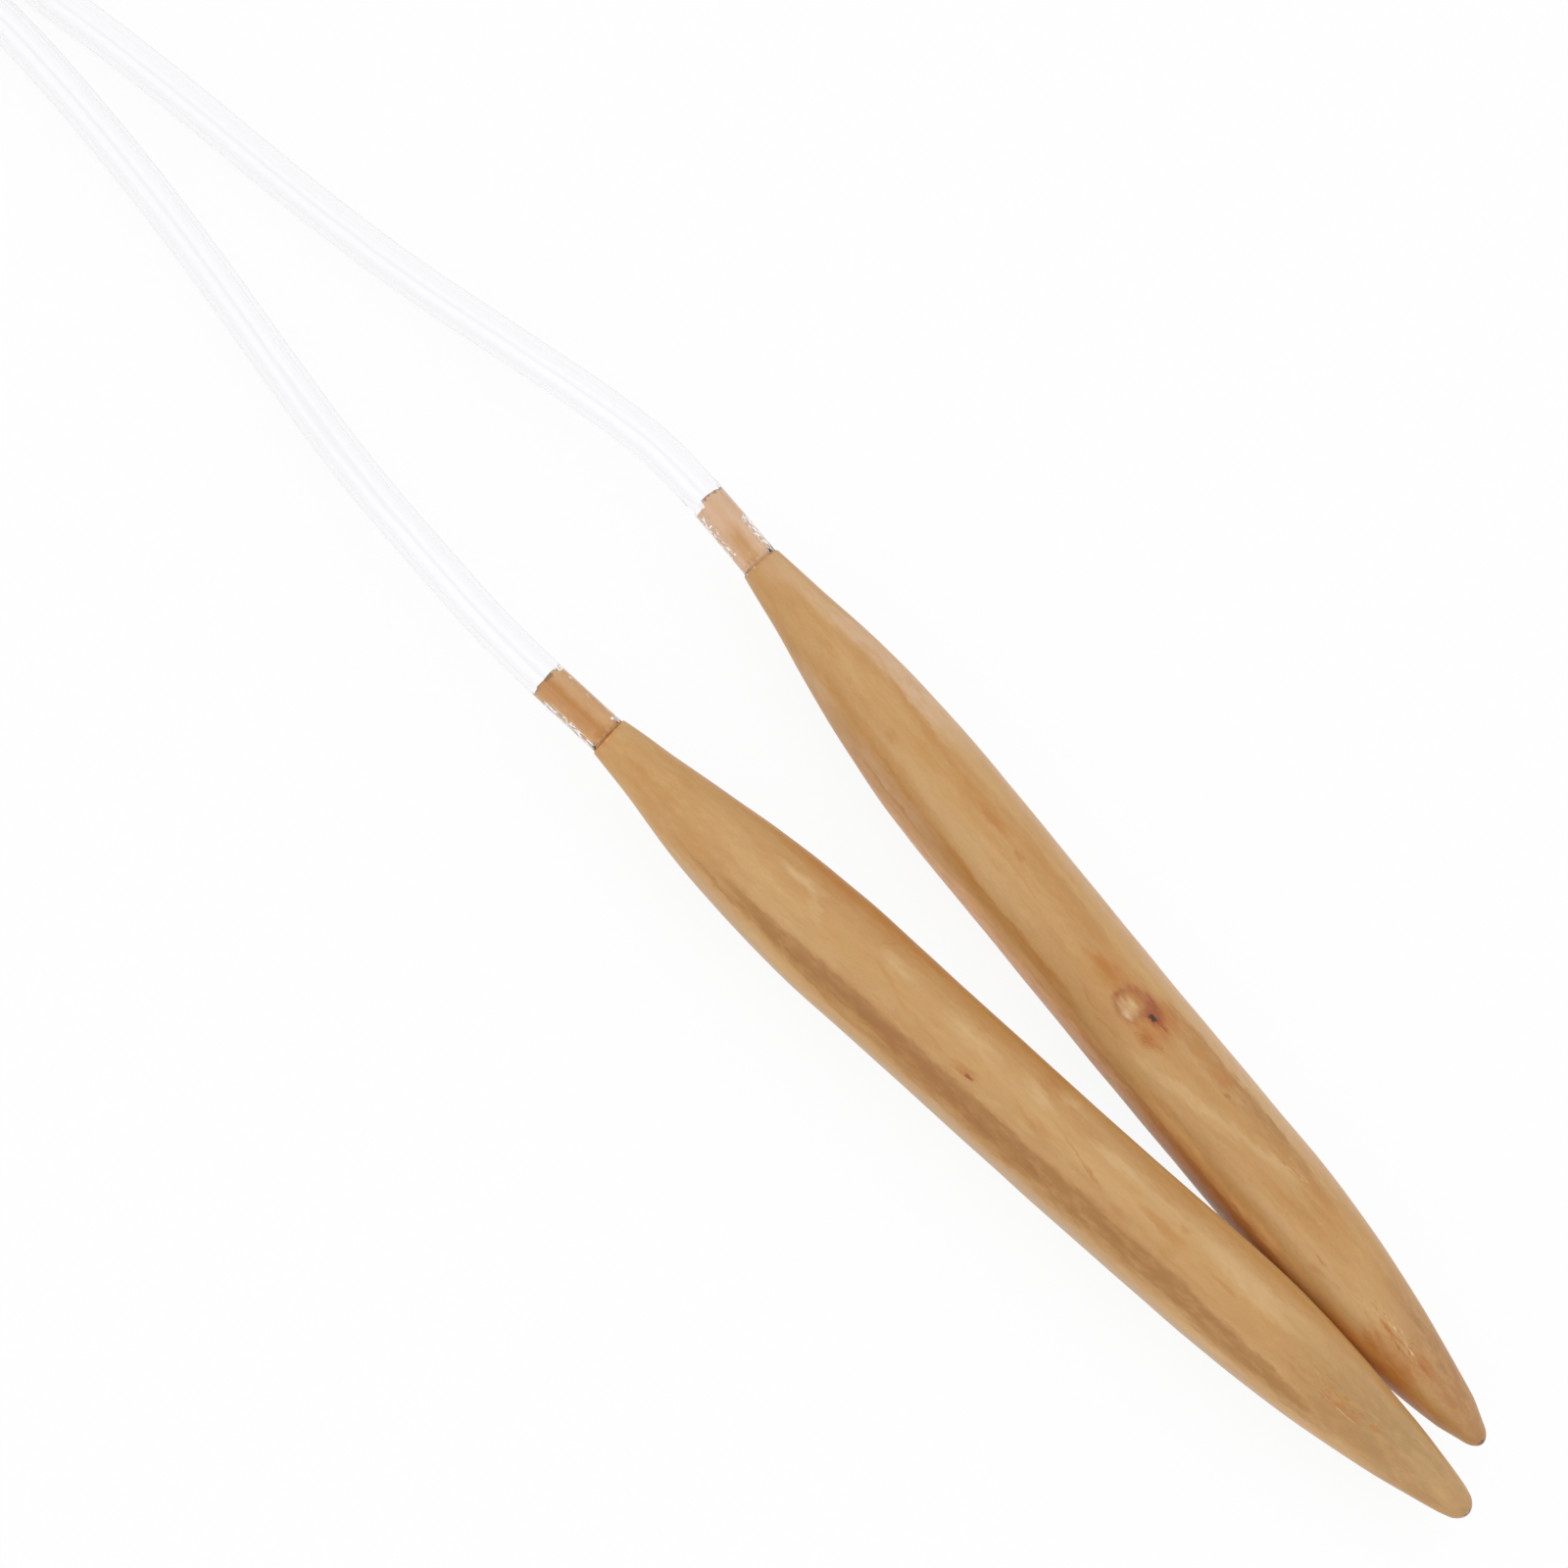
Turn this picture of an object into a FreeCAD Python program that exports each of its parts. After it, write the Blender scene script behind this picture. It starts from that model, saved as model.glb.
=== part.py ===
"""Jumbo circular knitting needle: two turned wooden needles joined by one clear hollow tube.

Millimetres. The needles lie on the plane z = 0 with their points towards +X, the front one at -Y.
The origin is on that plane, below the middle of the two needles' common box.
The tube runs back from both spigots towards -X, comes down to the plane and closes in a round loop.
"""

import FreeCAD
import Part
import Sketcher

import math
import os

V = FreeCAD.Vector
UP = V(0, 0, 1)

# name of the driving dimension, its value in millimetres (degrees for an angle), what it is
DIMENSIONS = [
    ("barrel_diameter", 20.0, "thickest part of a needle: its knitting size"),
    ("body_length", 200.0, "shoulder to point"),
    ("neck_length", 58.0, "shoulder to the start of the barrel"),
    ("cone_run", 16.5, "straight cone at the start of the neck"),
    ("ogive_length", 60.0, "end of the barrel to the point"),
    ("nose_radius", 3.0, "rounding of the point"),
    ("spigot_length", 14.0, "spigot that the tube is pushed over"),
    ("spigot_round", 0.5, "rounding of the spigot's end"),
    ("cement_film", 0.1, "cement between the spigot and the bore"),
    ("tube_outside", 7.0, "outer diameter of the tube and of the shoulder"),
    ("tube_bore", 5.0, "bore of the tube"),
    ("shoulder_spacing", 45.5, "between the middles of the two shoulders, across the needles"),
    ("stagger", 4.6, "how far the front needle lies ahead of the rear one"),
    ("needle_gap", 0.3, "between the two needles where they lie closest"),
    ("straight_past_spigot", 9.0, "from the spigot's end to the first corner of the tube's route"),
    ("loop_radius", 38.0, "middle of the tube to the middle of the loop"),
    ("loop_centre_x", -229.5, "middle of the loop, behind the shoulders"),
    ("loop_centre_y", -10.05, "middle of the loop, across the needles"),
    ("loop_start_angle", -42.5, "direction of the loop's first corner, seen from its middle"),
    ("loop_end_angle", -307.1, "direction of the loop's last corner, seen from its middle"),
]

# The tube's free route from each needle back to the loop, as the corners of its runs:
# x from the line between the two shoulders, y, and how high the tube hangs above the table.
FRONT_ROUTE = [
    (-38.4, -23.4, 5.3),
    (-60.4, -20.9, 2.3),
    (-83.4, -16.8, 0.4),
    (-107.4, -12.8, 0),
    (-129.4, -10.2, 0),
    (-149.4, -8.9, 0),
    (-167.8, -8.8, 0),
    (-181.6, -13.3, 0),
    (-192.6, -22.3, 0),
]
REAR_ROUTE = [
    (-41.4, 22.6, 5.2),
    (-62.4, 18.8, 2.2),
    (-84.4, 13.9, 0.4),
    (-107.4, 9.9, 0),
    (-129.4, 7.0, 0),
    (-149.4, 3.7, 0),
    (-168.8, -0.5, 0),
    (-183.1, 1.6, 0),
    (-195.5, 8.7, 0),
]
LOOP_CORNERS = 12
ARC_SHARE = 0.45  # of the shorter run, used up by the arc at each end of a run
FLEX_CORNER = 2  # in the middle of the run after this corner the tube flexes beside its needle

doc = FreeCAD.newDocument("circular_knitting_needle")
sheet = doc.addObject("Spreadsheet::Sheet", "dimensions")


def fill_sheet():
    """Write the driving dimensions: alias, value and meaning, one row each."""
    for row, (alias, value, meaning) in enumerate(DIMENSIONS, start=1):
        sheet.set(f"A{row}", meaning)
        sheet.set(f"B{row}", str(value))
        sheet.setAlias(f"B{row}", alias)
    doc.recompute()


def size(alias):
    """The present value of one driving dimension."""
    return float(getattr(sheet, alias))


def ogive_radius():
    """Radius of the arc that is tangent to the barrel and to the rounded nose."""
    barrel, nose = size("barrel_diameter") / 2, size("nose_radius")
    run = size("ogive_length") - nose
    return (run**2 + barrel**2 - nose**2) / (2 * (barrel - nose))


def yaw():
    """Angle of each needle to the X axis at which the two ogives lie needle_gap apart.

    An ogive's arc comes within half the gap of the middle plane when
    (arc - barrel) cos(yaw) - (straight length) sin(yaw) = arc + gap / 2 - shoulder spacing / 2.
    """
    arc = ogive_radius()
    a = arc - size("barrel_diameter") / 2
    b = size("body_length") - size("ogive_length")
    c = arc + size("needle_gap") / 2 - size("shoulder_spacing") / 2
    return math.acos(c / math.hypot(a, b)) - math.atan2(b, a)


def shoulders_x():
    """The line between the two shoulders, placed so that the pair's box is centred on the origin."""
    turn = yaw()
    nose = size("nose_radius")
    ahead = (size("body_length") - nose) * math.cos(turn) + nose
    end_radius = size("tube_bore") / 2 - size("cement_film") - size("spigot_round")
    behind = size("spigot_length") * math.cos(turn) + end_radius * math.sin(turn)
    return (behind - ahead) / 2


def needle_placement(side):
    """Placement of a needle whose own X axis starts at the shoulder. side is -1 in front, +1 behind."""
    along = shoulders_x() - side * size("stagger") / 2
    shoulder = V(along, side * size("shoulder_spacing") / 2, size("barrel_diameter") / 2)
    return FreeCAD.Placement(shoulder, FreeCAD.Rotation(UP, -side * math.degrees(yaw())))


def needle_outline():
    """Corners, arc ends and arc centres of half a needle's outline, as (x, y) from the shoulder."""
    barrel, shoulder = size("barrel_diameter") / 2, size("tube_outside") / 2
    spigot = size("tube_bore") / 2 - size("cement_film")
    back, edge = -size("spigot_length"), size("spigot_round")
    neck, cone, long = size("neck_length"), size("cone_run"), size("body_length")
    slope = (barrel - shoulder) / (cone + (neck - cone) / 2)
    neck_arc = (neck - cone) / math.sin(math.atan(slope))
    arc, nose = ogive_radius(), size("nose_radius")
    start = long - size("ogive_length")
    towards = V(long - nose - start, arc - barrel, 0).normalize()
    return {
        "end_centre": V(back, 0, 0),
        "end_edge": V(back, spigot - edge, 0),
        "round_centre": V(back + edge, spigot - edge, 0),
        "spigot_edge": V(back + edge, spigot, 0),
        "spigot_root": V(0, spigot, 0),
        "shoulder": V(0, shoulder, 0),
        "cone_end": V(cone, shoulder + cone * slope, 0),
        "neck_centre": V(neck, barrel - neck_arc, 0),
        "barrel_start": V(neck, barrel, 0),
        "barrel_end": V(start, barrel, 0),
        "ogive_centre": V(start, barrel - arc, 0),
        "ogive_end": V(start, barrel - arc, 0) + towards * arc,
        "nose_centre": V(long - nose, 0, 0),
        "point": V(long, 0, 0),
    }


def clockwise_arc(centre, first, last):
    """Arc of a circle that runs clockwise from first to last, as the sketcher stores it: end to start."""
    angle = [math.atan2(p.y - centre.y, p.x - centre.x) for p in (last, first)]
    return Part.ArcOfCircle(Part.Circle(centre, UP, (first - centre).Length), *angle)


def own_plane(body, role):
    """One of a body's own origin planes."""
    return next(f for f in body.Origin.OriginFeatures if f.Role == role)


def bind(sketch, kind, where, name, value, expression):
    """Add one driving constraint to a sketch at its present value, name it and bind it to the sheet."""
    index = sketch.addConstraint(Sketcher.Constraint(kind, *where, value))
    sketch.renameConstraint(index, name)
    sketch.setExpression(f"Constraints[{index}]", expression)


def needle_sketch(body):
    """Half of a needle's outline, closed along its axis, with its sizes bound to the sheet."""
    sketch = body.newObject("Sketcher::SketchObject", body.Name + "_outline")
    sketch.AttachmentSupport = (own_plane(body, "XY_Plane"), [""])
    sketch.MapMode = "FlatFace"
    at = needle_outline()

    def line(first, last):
        return sketch.addGeometry(Part.LineSegment(at[first], at[last]), False)

    def arc(centre, first, last):
        return sketch.addGeometry(clockwise_arc(at[centre], at[first], at[last]), False)

    end_face = line("end_centre", "end_edge")
    end_round = arc("round_centre", "end_edge", "spigot_edge")
    spigot = line("spigot_edge", "spigot_root")
    step = line("spigot_root", "shoulder")
    cone = line("shoulder", "cone_end")
    neck = arc("neck_centre", "cone_end", "barrel_start")
    barrel = line("barrel_start", "barrel_end")
    ogive = arc("ogive_centre", "barrel_end", "ogive_end")
    nose = arc("nose_centre", "ogive_end", "point")
    axis = line("point", "end_centre")

    start, end, middle = 1, 2, 3
    origin = (-1, 1)
    x_axis, y_axis = -1, -2
    # a clockwise arc is stored backwards, so it begins at its own end point
    joined = [
        ("Tangent", end_face, end, end_round, end),
        ("Tangent", end_round, start, spigot, start),
        ("Coincident", spigot, end, step, start),
        ("Coincident", step, end, cone, start),
        ("Tangent", cone, end, neck, end),
        ("Tangent", neck, start, barrel, start),
        ("Tangent", barrel, end, ogive, end),
        ("Tangent", ogive, start, nose, end),
        ("Coincident", nose, start, axis, start),
        ("Coincident", axis, end, end_face, start),
        ("Vertical", end_face),
        ("Horizontal", spigot),
        ("Vertical", step),
        ("Horizontal", barrel),
        ("PointOnObject", axis, start, x_axis),
        ("PointOnObject", axis, end, x_axis),
        ("PointOnObject", nose, middle, x_axis),
    ]
    for constraint in joined:
        sketch.addConstraint(Sketcher.Constraint(*constraint))
    sketch.addConstraint(Sketcher.Constraint("PointOnObject", step, start, y_axis))

    driven = [
        ("DistanceX", (end_face, start, *origin), "spigot_length", "spigot_length", 1),
        ("Radius", (end_round,), "spigot_round", "spigot_round", 1),
        ("DistanceY", (*origin, step, end), "shoulder_radius", "tube_outside", 2),
        ("DistanceX", (*origin, cone, end), "cone_run", "cone_run", 1),
        ("DistanceX", (*origin, neck, start), "neck_length", "neck_length", 1),
        ("DistanceY", (*origin, barrel, start), "barrel_radius", "barrel_diameter", 2),
        ("DistanceX", (barrel, end, nose, start), "ogive_length", "ogive_length", 1),
        ("Radius", (nose,), "nose_radius", "nose_radius", 1),
        ("DistanceX", (*origin, nose, start), "body_length", "body_length", 1),
    ]
    for kind, where, name, alias, divisor in driven:
        bind(sketch, kind, where, name, size(alias) / divisor, f"dimensions.{alias} / {divisor}")
    bind(sketch, "DistanceY", (*origin, spigot, start), "spigot_radius",
         size("tube_bore") / 2 - size("cement_film"),
         "dimensions.tube_bore / 2 - dimensions.cement_film")
    return sketch


def needle(label, side):
    """One needle, turned in one piece: spigot, flared neck, barrel and long pointed ogive."""
    body = doc.addObject("PartDesign::Body", label)
    body.Label = label
    sketch = needle_sketch(body)
    turned = body.newObject("PartDesign::Revolution", label + "_turned")
    turned.Profile = sketch
    turned.ReferenceAxis = (sketch, ["H_Axis"])
    turned.Angle = 360
    sketch.Visibility = False
    body.Placement = needle_placement(side)
    return body


def cement(label, side):
    """The thin sleeve of clear cement that holds the tube on the straight part of a spigot."""
    radius = "dimensions.tube_bore / 2"
    outer = doc.addObject("Part::Cylinder", label + "_outside")
    inner = doc.addObject("Part::Cylinder", label + "_inside")
    for cylinder in (outer, inner):
        cylinder.setExpression("Height", "dimensions.spigot_length - dimensions.spigot_round")
    outer.setExpression("Radius", radius)
    inner.setExpression("Radius", radius + " - dimensions.cement_film")
    film = doc.addObject("Part::Cut", label)
    film.Label = label
    film.Base = outer
    film.Tool = inner
    along_spigot = FreeCAD.Placement(V(), FreeCAD.Rotation(V(0, 0, 1), V(-1, 0, 0)))
    film.Placement = needle_placement(side).multiply(along_spigot)
    return film


def lying_tube(x, y, hang=0):
    """A point of the tube's middle line, from where it lies along and across, and how high it hangs."""
    return V(shoulders_x() + x, y, size("tube_outside") / 2 + hang)


def strand(side, corners):
    """The route of one strand from its needle's shoulder: straight over the spigot, then free."""
    place = needle_placement(side)
    past = -size("spigot_length") - size("straight_past_spigot")
    return [place.multVec(V(0, 0, 0)), place.multVec(V(past, 0, 0))] + [lying_tube(*c) for c in corners]


def loop_corners():
    """Corners of the polygon whose sides touch the loop's circle, from the front to the rear."""
    first, last = (math.radians(size(name)) for name in ("loop_start_angle", "loop_end_angle"))
    step = (last - first) / (LOOP_CORNERS - 1)
    reach = size("loop_radius") / math.cos(step / 2)
    middle = lying_tube(size("loop_centre_x"), size("loop_centre_y"))
    angles = [first + step * number for number in range(LOOP_CORNERS)]
    return [middle + V(reach * math.cos(angle), reach * math.sin(angle), 0) for angle in angles]


def whole_route():
    """Corners of the tube's route, from the front needle's shoulder to the rear needle's."""
    return strand(-1, FRONT_ROUTE) + loop_corners() + strand(1, REAR_ROUTE)[::-1]


def bend(before, corner, after):
    """The arc that rounds one corner: its two ends, its middle and its radius."""
    back, ahead = before - corner, after - corner
    half_turn = (math.pi - back.getAngle(ahead)) / 2
    reach = ARC_SHARE * min(back.Length, ahead.Length)
    radius = reach / math.tan(half_turn)
    back.normalize()
    ahead.normalize()
    inwards = (back + ahead).normalize()
    middle = corner + inwards * (radius / math.cos(half_turn) - radius)
    return corner + back * reach, middle, corner + ahead * reach, radius


def middle_of(route, first):
    """The middle of the run that starts at one corner of the route."""
    return (route[first] + route[first + 1]) / 2


def smooth_path(route, first, last):
    """One wire of straight runs joined by tangent arcs that rounds the corners first to last.

    It begins and ends in the middle of the runs beside them, or at the route's own two ends.
    """
    edges = []
    at = route[0] if first == 1 else middle_of(route, first - 1)
    for number in range(first, last + 1):
        begin, top, end, _ = bend(*route[number - 1:number + 2])
        edges.append(Part.LineSegment(at, begin).toShape())
        edges.append(Part.Arc(begin, top, end).toShape())
        at = end
    finish = route[-1] if last == len(route) - 2 else middle_of(route, last)
    edges.append(Part.LineSegment(at, finish).toShape())
    return Part.Wire(edges)


def bar(path, radius):
    """A solid round bar of the given radius along a path."""
    begin = path.Edges[0]
    ring = Part.Wire(Part.Circle(begin.valueAt(begin.FirstParameter), begin.tangentAt(0), radius).toShape())
    return path.makePipeShell([ring], True, False)


def tube(label, route, first, last):
    """One stretch of the clear tube, hollow from end to end."""
    path = smooth_path(route, first, last)
    outside, bore = size("tube_outside") / 2, size("tube_bore") / 2
    piece = doc.addObject("Part::Feature", label)
    piece.Label = label
    piece.Shape = bar(path, outside).cut(bar(path, bore)).Solids[0]
    section = math.pi * (outside**2 - bore**2)
    share = piece.Shape.Volume / (section * path.Length)
    print(f"{label}: {path.Length:.1f} mm long, volume is {share:.4f} of section times length")
    return piece


def tube_stretches(route):
    """The one tube, in the stretches between which it flexes."""
    front = len(FRONT_ROUTE) + 1
    loop = front + LOOP_CORNERS
    rear = len(route) - 2
    return [
        tube("front_tube_end", route, 1, FLEX_CORNER),
        tube("front_tube_run", route, FLEX_CORNER + 1, front),
        tube("tube_loop", route, front + 1, loop),
        tube("rear_tube_run", route, loop + 1, rear - FLEX_CORNER),
        tube("rear_tube_end", route, rear - FLEX_CORNER + 1, rear),
    ]


def check(pieces):
    """Stop if any object failed or any piece isn't one valid solid."""
    failed = [o.Label for o in doc.Objects if "Invalid" in o.State or "Error" in o.State]
    if failed:
        raise RuntimeError(f"these objects failed: {failed}")
    for piece in pieces:
        shape = piece.Shape
        if shape.isNull() or not shape.isValid() or len(shape.Solids) != 1:
            raise RuntimeError(f"{piece.Label} isn't one valid solid")


def report(route):
    """Print what the record and the joints need: radii of the route's arcs, yaw, pivots and volumes."""
    radii = [bend(*route[number - 1:number + 2])[3] for number in range(1, len(route) - 1)]
    print("radii of the tube's arcs:", ", ".join(f"{radius:.1f}" for radius in radii))
    print(f"yaw of each needle: {math.degrees(yaw()):.3f} degrees")
    for name, first in (("front", FLEX_CORNER), ("rear", len(route) - 2 - FLEX_CORNER)):
        print(name, "flex point:", [round(c, 3) for c in middle_of(route, first)])


def build():
    """Make every piece, check it and write its STEP file."""
    fill_sheet()
    route = whole_route()
    pieces = [
        needle("front_needle", -1),
        needle("rear_needle", 1),
        cement("front_cement", -1),
        cement("rear_cement", 1),
    ]
    pieces += tube_stretches(route)
    doc.recompute()
    check(pieces)
    report(route)
    os.makedirs("parts", exist_ok=True)
    for piece in pieces:
        piece.Shape.exportStep(f"parts/{piece.Label}.step")
        print(f"{piece.Label}: {piece.Shape.Volume:.1f} cubic mm")


build()
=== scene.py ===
"""Looks of a jumbo circular knitting needle: two turned wooden needles and their clear hollow tube.

Metres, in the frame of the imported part: the needles lie on z = 0 with their points towards +X,
the front needle at -Y. The tube runs back from both spigots and closes in a round loop at -X.
"""

import math

import bmesh
import bpy
from mathutils import Matrix, Vector, noise


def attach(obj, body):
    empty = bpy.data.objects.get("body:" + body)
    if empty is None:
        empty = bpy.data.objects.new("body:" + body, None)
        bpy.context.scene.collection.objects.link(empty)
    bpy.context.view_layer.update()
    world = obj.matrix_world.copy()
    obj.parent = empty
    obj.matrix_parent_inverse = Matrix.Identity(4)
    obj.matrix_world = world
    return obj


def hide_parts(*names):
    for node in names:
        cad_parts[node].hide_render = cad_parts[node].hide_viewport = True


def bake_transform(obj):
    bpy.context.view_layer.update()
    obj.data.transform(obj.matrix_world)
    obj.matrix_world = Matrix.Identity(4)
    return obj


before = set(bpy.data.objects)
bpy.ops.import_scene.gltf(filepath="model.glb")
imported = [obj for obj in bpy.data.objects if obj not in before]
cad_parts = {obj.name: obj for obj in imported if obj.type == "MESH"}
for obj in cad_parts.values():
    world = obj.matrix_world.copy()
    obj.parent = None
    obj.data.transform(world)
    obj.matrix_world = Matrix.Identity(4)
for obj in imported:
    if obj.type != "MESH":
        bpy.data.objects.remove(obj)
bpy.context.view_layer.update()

MM = 0.001
FRONT, REAR = -1, 1
SIDES = (FRONT, REAR)
NAMES = {FRONT: "front", REAR: "rear"}

# ---------------------------------------------------------------- sizes of the needles and the tube
BARREL_RADIUS = 10 * MM
BODY_LENGTH = 200 * MM
NECK_LENGTH = 58 * MM
CONE_RUN = 16.5 * MM
OGIVE_LENGTH = 60 * MM
NOSE_RADIUS = 3 * MM
SPIGOT_LENGTHS = {FRONT: 14.6 * MM, REAR: 15.2 * MM}
SEAT = 0.9 * MM  # the foot of the spigot flares into the tube's end over this length
LIP = 0.3 * MM  # how far the wood stands proud of the tube
REAR_STEP = 13.8 * MM  # where the lower part of the rear spigot ends
REAR_STEP_BELOW = -1.15 * MM  # and how far off its middle that part begins
SPIGOT_RADIUS = 2.4 * MM
SPIGOT_ROUND = 0.5 * MM
TUBE_RADIUS = 3.5 * MM
BORE_RADIUS = 2.5 * MM

# how the two hand-finished needles differ from the true turning
BOW = {FRONT: 0.82 * MM, REAR: 0.85 * MM}
SLIMMING = {FRONT: 0.14 * MM, REAR: 0.02 * MM}  # off the radius of barrel and point
THINNING = {FRONT: (0.15, 4.0), REAR: (0.31, 7.5)}  # share off the nose, and its reach in millimetres
POINT_SHIFT = 0.25 * MM  # the front point leans to one side
POINT_GROWTH = 1.0 * MM  # and is longer
WAVINESS = 0.08  # of the sanded surface, in millimetres
FACETING = 0.025
CHEWED_END = 0.22 * MM  # roughness of the sawn end of each spigot
CHEWED_FROM = 12.8  # millimetres back from the shoulder

# where everything lies
SHOULDERS_X = -92.595 * MM
SHOULDER_Y = 22.75 * MM
STAGGER = 2.3 * MM
AXIS_HEIGHT = 10 * MM
YAW = math.radians(4.830)
STRAIGHT_START = 23 * MM
LOOP_MIDDLE = Vector((-322.095 * MM, -10.05 * MM, TUBE_RADIUS))
LOOP_RADIUS = 38 * MM
LOOP_ANGLES = (math.radians(-42.5), math.radians(-307.1))
LOOP_CORNERS = 12

CAMERA_ROLL = math.radians(46.48)
CAMERA_TARGET = Vector((-63.7, -4.4, 10.0)) * MM
CAMERA_DISTANCE = 0.600
VIEW_WIDTH = 0.2725
ELEVATION = math.radians(62)  # of the camera, and of the side of each needle that it sees
SEEN_SIDE = Matrix.Rotation(math.pi / 2 - ELEVATION, 3, "X").inverted()

# corners of the tube's free runs, back from each needle: x from the line between the two
# shoulders, y, and how high the tube hangs, all in millimetres
FRONT_ROUTE = [
    (-38.4, -23.4, 5.3), (-60.4, -20.9, 2.3), (-83.4, -16.8, 0.4), (-107.4, -12.8, 0),
    (-129.4, -10.2, 0), (-149.4, -8.9, 0), (-167.8, -8.8, 0), (-181.6, -13.3, 0),
    (-192.6, -22.3, 0),
]
REAR_ROUTE = [
    (-41.4, 22.6, 5.2), (-62.4, 18.8, 2.2), (-84.4, 13.9, 0.4), (-107.4, 9.9, 0),
    (-129.4, 7.0, 0), (-149.4, 3.7, 0), (-168.8, -0.5, 0), (-183.1, 1.6, 0),
    (-195.5, 8.7, 0),
]


def needle_place(side):
    """Where a needle lies: its own X axis starts at the shoulder and ends at the point."""
    shoulder = Vector((SHOULDERS_X - side * STAGGER, side * SHOULDER_Y, AXIS_HEIGHT))
    return Matrix.Translation(shoulder) @ Matrix.Rotation(-side * YAW, 4, "Z")


def add_object(name, mesh, material=None, smooth=True):
    """A new object at the origin for a finished mesh."""
    mesh.name = name
    thing = bpy.data.objects.new(name, mesh)
    bpy.context.scene.collection.objects.link(thing)
    if material:
        mesh.materials.append(material)
    if smooth:
        mesh.polygons.foreach_set("use_smooth", [True] * len(mesh.polygons))
    return thing


def mesh_from(bm, name):
    """Turn a finished bmesh into a mesh."""
    mesh = bpy.data.meshes.new(name)
    bm.to_mesh(mesh)
    bm.free()
    return mesh


# ---------------------------------------------------------------- camera
def aim_camera():
    """The camera looks down on the needles, rolled so that they point to the lower right."""
    forward = Vector((0, math.cos(ELEVATION), -math.sin(ELEVATION)))
    up = Vector((0, math.sin(ELEVATION), math.cos(ELEVATION)))
    level = Vector((1, 0, 0))
    right_side = level * math.cos(CAMERA_ROLL) + up * math.sin(CAMERA_ROLL)
    up_side = up * math.cos(CAMERA_ROLL) - level * math.sin(CAMERA_ROLL)
    data = bpy.data.cameras.new("camera")
    data.sensor_width = 36
    data.lens = data.sensor_width * CAMERA_DISTANCE / VIEW_WIDTH
    data.clip_start = 0.01
    camera = bpy.data.objects.new("camera", data)
    bpy.context.scene.collection.objects.link(camera)
    turn = Matrix((right_side, up_side, -forward)).transposed()
    camera.matrix_world = Matrix.Translation(CAMERA_TARGET - forward * CAMERA_DISTANCE) @ turn.to_4x4()
    bpy.context.scene.camera = camera


aim_camera()


# ---------------------------------------------------------------- shader tools
def linear(red, green, blue):
    """A colour as a screen shows it, 0 to 255, as the shader needs it."""
    def one(value):
        value /= 255
        return value / 12.92 if value <= 0.04045 else ((value + 0.055) / 1.055) ** 2.4
    return (one(red), one(green), one(blue), 1)


def fill_sockets(tree, node, sockets):
    """Give a node its inputs: pairs of socket (name or number) and a value or another node's output."""
    for key, value in sockets:
        if isinstance(value, bpy.types.NodeSocket):
            tree.links.new(value, node.inputs[key])
        else:
            node.inputs[key].default_value = value


def add_node(tree, kind, sockets=(), **settings):
    """A new shader node with its settings and inputs."""
    node = tree.nodes.new("ShaderNode" + kind)
    for key, value in settings.items():
        setattr(node, key, value)
    fill_sockets(tree, node, sockets)
    return node


def maths(tree, operation, first, second=0.0):
    """The result of one sum with two numbers."""
    return add_node(tree, "Math", [(0, first), (1, second)], operation=operation).outputs[0]


def vector_maths(tree, operation, first, second):
    """The result of one sum with two vectors."""
    return add_node(tree, "VectorMath", [(0, first), (1, second)], operation=operation).outputs[0]


def stretch(tree, place, lengths, shift=(0, 0, 0)):
    """Coordinates for a pattern that is drawn out to these lengths in millimetres."""
    scale = [1 / length for length in lengths]
    return add_node(tree, "Mapping", [("Vector", place), ("Location", shift), ("Scale", scale)]).outputs[0]


def speckle(tree, place, detail=2.0, rough=0.5, distort=0.0):
    """Noise between 0 and 1."""
    node = add_node(tree, "TexNoise", [("Vector", place), ("Scale", 1.0), ("Detail", detail),
                                       ("Roughness", rough), ("Distortion", distort)])
    return node.outputs[0]


def ramp(tree, value, low, high, out_low=0.0, out_high=1.0):
    """Smooth step of a value between two limits."""
    return add_node(tree, "MapRange", [(0, value), (1, low), (2, high), (3, out_low), (4, out_high)],
                    interpolation_type="SMOOTHSTEP").outputs[0]


def blend_colour(tree, share, under, over, kind="MIX"):
    """The second colour laid over the first by a share."""
    return add_node(tree, "Mix", [(0, share), (6, under), (7, over)], data_type="RGBA",
                    blend_type=kind).outputs[2]


def new_group(name, inputs, outputs):
    """An empty shader node group with named sockets: its tree, what it is given and what it makes."""
    tree = bpy.data.node_groups.new(name, "ShaderNodeTree")
    for label, kind in inputs:
        tree.interface.new_socket(name=label, in_out="INPUT", socket_type="NodeSocket" + kind)
    for label, kind in outputs:
        tree.interface.new_socket(name=label, in_out="OUTPUT", socket_type="NodeSocket" + kind)
    start = tree.nodes.new("NodeGroupInput")
    end = tree.nodes.new("NodeGroupOutput")
    return tree, start.outputs, end.inputs


def use_group(tree, group, sockets):
    """The outputs of a node group for these inputs."""
    return add_node(tree, "Group", sockets, node_tree=group).outputs


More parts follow.
